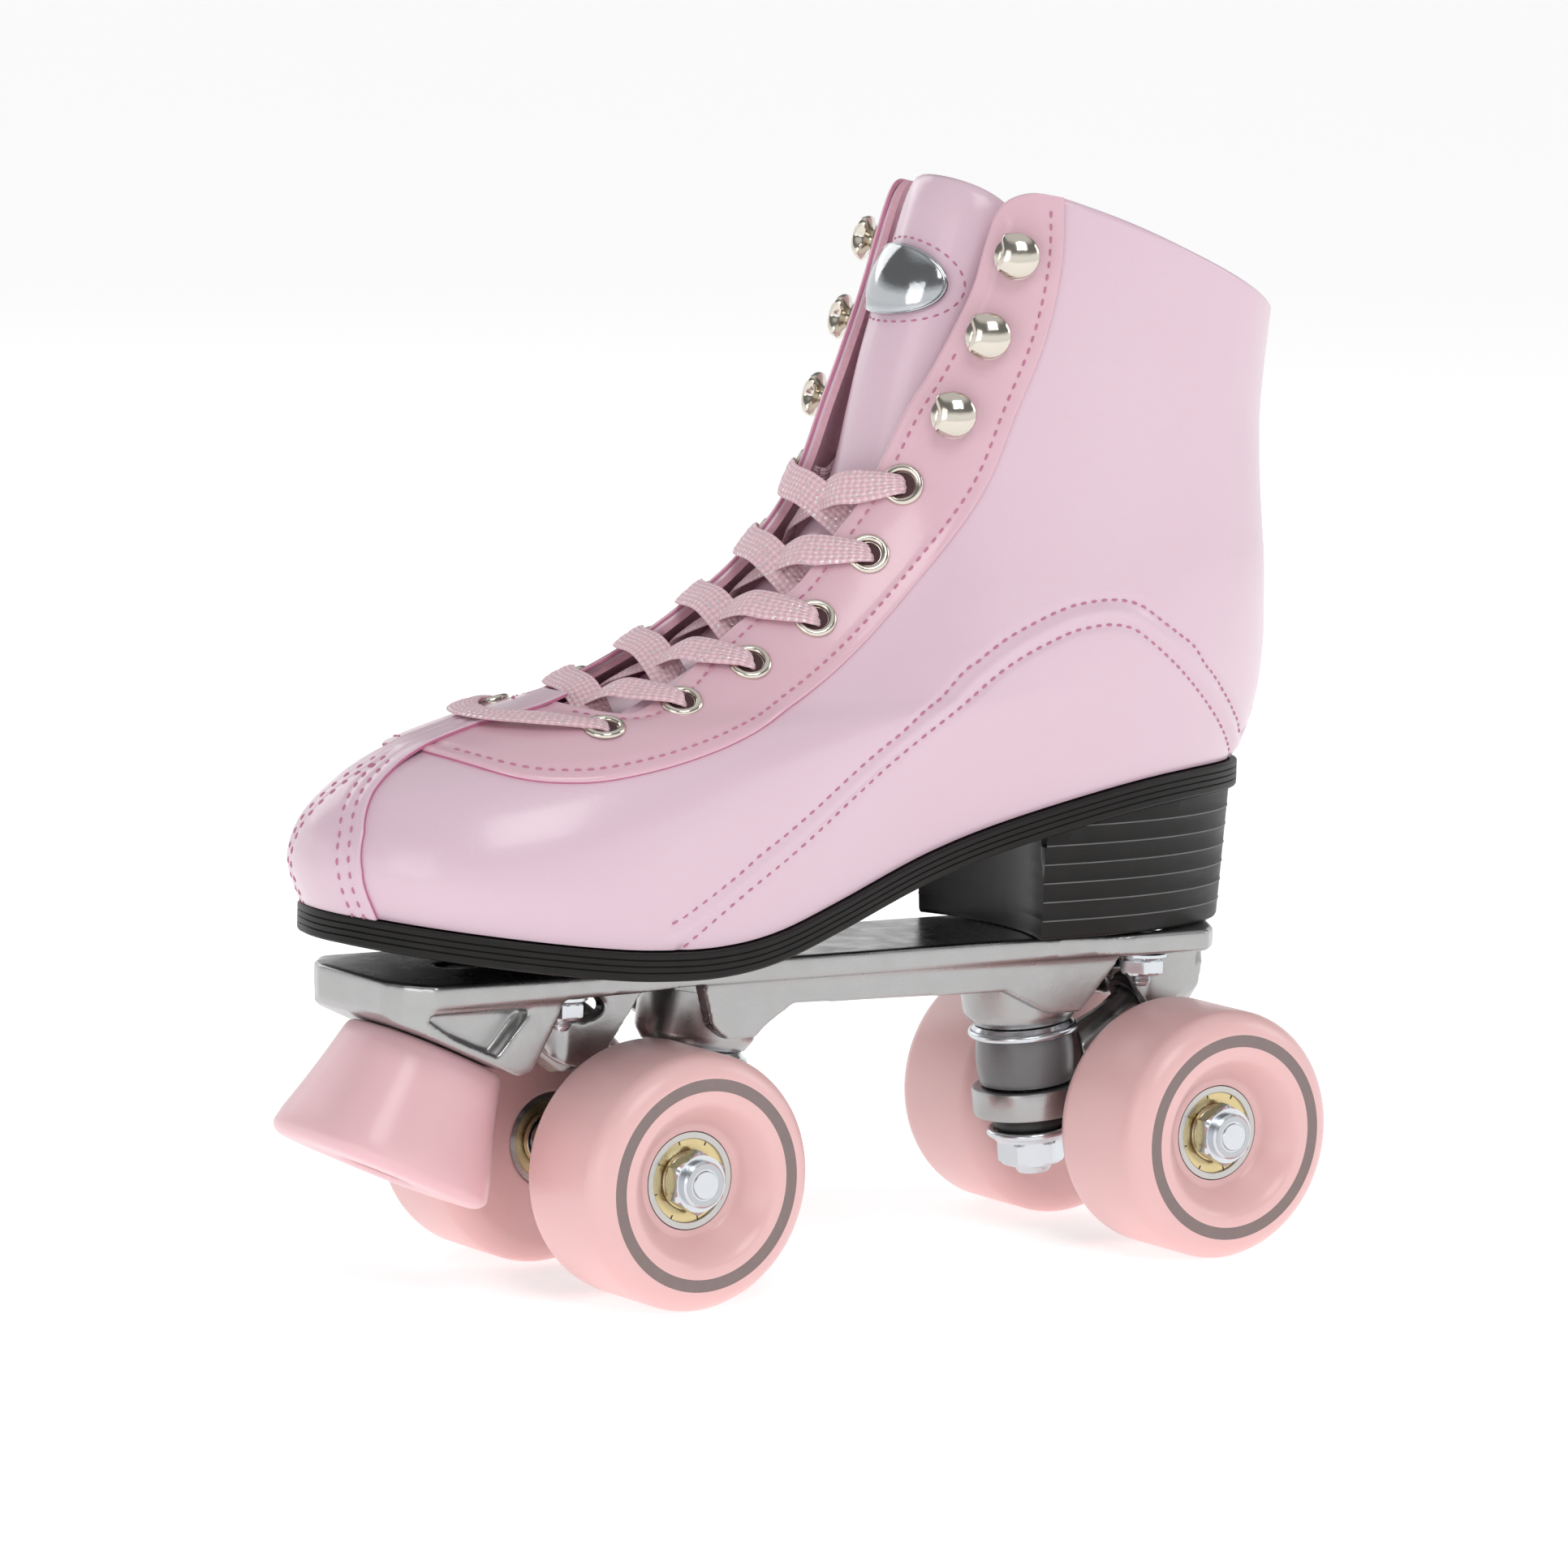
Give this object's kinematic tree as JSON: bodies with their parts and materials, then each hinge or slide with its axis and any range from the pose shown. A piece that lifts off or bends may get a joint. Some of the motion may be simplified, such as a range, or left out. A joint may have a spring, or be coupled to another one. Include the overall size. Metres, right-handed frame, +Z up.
{
  "type": "quad roller skate",
  "caption": "High-top laced quad roller skate with a stacked heel, cast plate, steering trucks, spinning wheels and a toe stop.",
  "frame": {"origin": "middle of the skate's box, on the floor the wheels stand on", "axes": "+X towards the toe, +Y to the wearer's left, +Z up"},
  "size_m": [0.2566, 0.096, 0.2494],
  "materials": {
    "upper_leather": "glossy coated synthetic leather, pink, darker raw edges",
    "sole_rubber": "satin black with fine stack lines",
    "insole_fabric": "pink woven lining",
    "stiffener": "matte board, hidden inside the heel",
    "badge": "domed mirror plate, plain",
    "lace": "flat woven lace with fine glitter thread",
    "cast_aluminium": "tumbled die casting",
    "wheel_urethane": "satin salmon pink urethane",
    "nickel": "polished warm nickel",
    "zinc": "bright zinc plate",
    "bearing": "yellow-passivated shield in a ground steel ring",
    "cushion": "grey urethane, satin",
    "cushion_dark": "black urethane, satin"
  },
  "bodies": {
    "boot_and_plate": {"toe_cap": "upper_leather", "eyestay": "upper_leather", "quarter_left": "upper_leather", "quarter_right": "upper_leather", "tongue": "upper_leather", "outsole": "sole_rubber", "heel_block": "sole_rubber", "insole": "insole_fabric", "heel_counter": "stiffener", "tongue_badge": "badge", "lace": "lace", "plate": "cast_aluminium", "toe_stop": "wheel_urethane", "toe_stop_bolt": "zinc", "eyelet_row_left": "nickel", "hook_left_1": "nickel", "hook_left_2": "nickel", "hook_left_3": "nickel", "mount_bolt_front_left": "zinc", "mount_bolt_rear_left": "zinc", "eyelet_row_right": "nickel", "hook_right_1": "nickel", "hook_right_2": "nickel", "hook_right_3": "nickel", "mount_bolt_front_right": "zinc", "mount_bolt_rear_right": "zinc", "front_kingpin": "zinc", "front_kingpin_nut": "zinc", "front_upper_washer": "zinc", "front_upper_cushion": "cushion", "front_lower_cushion": "cushion_dark", "front_lower_washer": "zinc", "front_pivot_cup": "cushion_dark", "rear_kingpin": "zinc", "rear_kingpin_nut": "zinc", "rear_upper_washer": "zinc", "rear_upper_cushion": "cushion", "rear_lower_cushion": "cushion_dark", "rear_lower_washer": "zinc", "rear_pivot_cup": "cushion_dark"},
    "front_truck": {"front_hanger": "cast_aluminium", "front_axle": "zinc", "front_left_axle_nut": "zinc", "front_right_axle_nut": "zinc"},
    "front_left_wheel": {"front_left_wheel": "wheel_urethane", "front_left_outer_bearing": "bearing", "front_left_inner_bearing": "bearing"},
    "front_right_wheel": {"front_right_wheel": "wheel_urethane", "front_right_outer_bearing": "bearing", "front_right_inner_bearing": "bearing"},
    "rear_truck": {"rear_hanger": "cast_aluminium", "rear_axle": "zinc", "rear_left_axle_nut": "zinc", "rear_right_axle_nut": "zinc"},
    "rear_left_wheel": {"rear_left_wheel": "wheel_urethane", "rear_left_outer_bearing": "bearing", "rear_left_inner_bearing": "bearing"},
    "rear_right_wheel": {"rear_right_wheel": "wheel_urethane", "rear_right_outer_bearing": "bearing", "rear_right_inner_bearing": "bearing"}
  },
  "joints": [
    {"name": "front_steer", "type": "hinge", "parent": "boot_and_plate", "child": "front_truck", "pos_m": [0.05919, 0, 0.0555], "axis": [0.8137, 0, 0.5812], "range_deg": [-8, 8], "stiffness_Nm_per_rad": 20, "deforming": ["front_upper_cushion", "front_lower_cushion", "front_pivot_cup"]},
    {"name": "front_left_spin", "type": "hinge", "parent": "front_truck", "child": "front_left_wheel", "pos_m": [0.05219, 0, 0.029], "axis": [0, 1, 0], "continuous": true},
    {"name": "front_right_spin", "type": "hinge", "parent": "front_truck", "child": "front_right_wheel", "pos_m": [0.05219, 0, 0.029], "axis": [0, 1, 0], "continuous": true},
    {"name": "rear_steer", "type": "hinge", "parent": "boot_and_plate", "child": "rear_truck", "pos_m": [-0.10081, 0, 0.0555], "axis": [-0.8137, 0, 0.5812], "range_deg": [-8, 8], "stiffness_Nm_per_rad": 20, "deforming": ["rear_upper_cushion", "rear_lower_cushion", "rear_pivot_cup"]},
    {"name": "rear_left_spin", "type": "hinge", "parent": "rear_truck", "child": "rear_left_wheel", "pos_m": [-0.09381, 0, 0.029], "axis": [0, 1, 0], "continuous": true},
    {"name": "rear_right_spin", "type": "hinge", "parent": "rear_truck", "child": "rear_right_wheel", "pos_m": [-0.09381, 0, 0.029], "axis": [0, 1, 0], "continuous": true}
  ]
}
